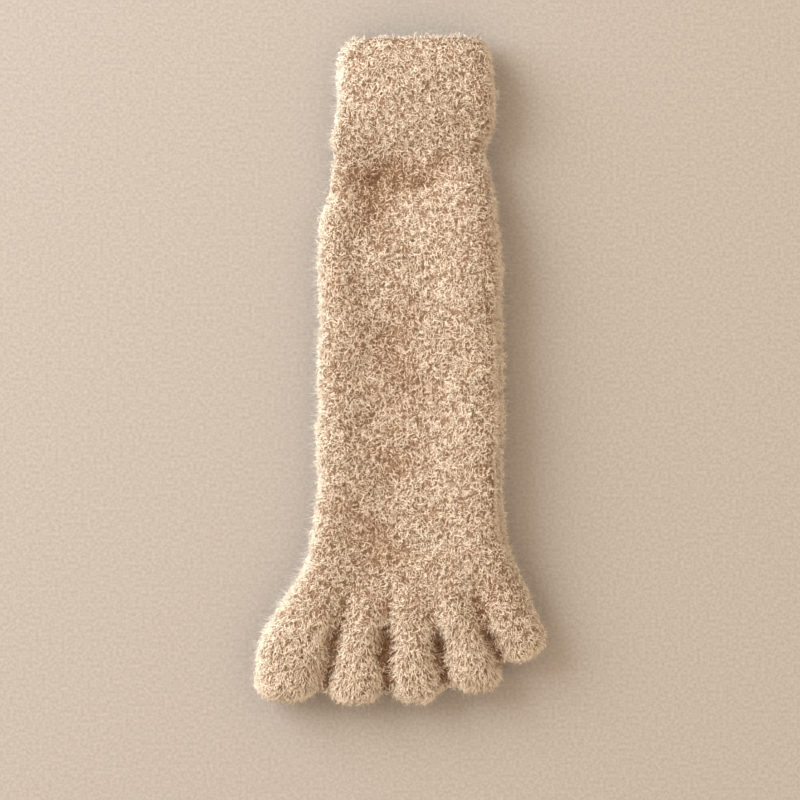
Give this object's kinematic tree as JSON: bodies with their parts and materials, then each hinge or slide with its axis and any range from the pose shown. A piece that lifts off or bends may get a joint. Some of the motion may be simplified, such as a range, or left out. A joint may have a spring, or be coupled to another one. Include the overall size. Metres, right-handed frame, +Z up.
{
  "type": "toe sock",
  "caption": "Plush knitted toe sock lying flat: a soft hollow tube with an elastic cuff, a long leg and foot, and a separate pocket for each toe of the left foot",
  "frame": {"origin": "on the surface that the sock lies on, under the middle of its bounding box", "axes": "+Y runs from the toes to the mouth of the cuff, +Z is up out of the instep, and the big toe is on the -X side"},
  "size_m": [0.1488, 0.3332, 0.0272],
  "materials": {
    "cuff_knit": "dense curly plush pile over an elasticated knit, warm beige, matt with a faint sheen",
    "plush_knit": "deep curly plush pile over a soft knit, warm beige with darker roots, matt with a faint sheen"
  },
  "bodies": {
    "root": {"cuff": "cuff_knit", "leg_and_foot": "plush_knit", "big_toe_pocket": "plush_knit", "second_toe_pocket": "plush_knit", "third_toe_pocket": "plush_knit", "fourth_toe_pocket": "plush_knit", "little_toe_pocket": "plush_knit"}
  },
  "joints": []
}
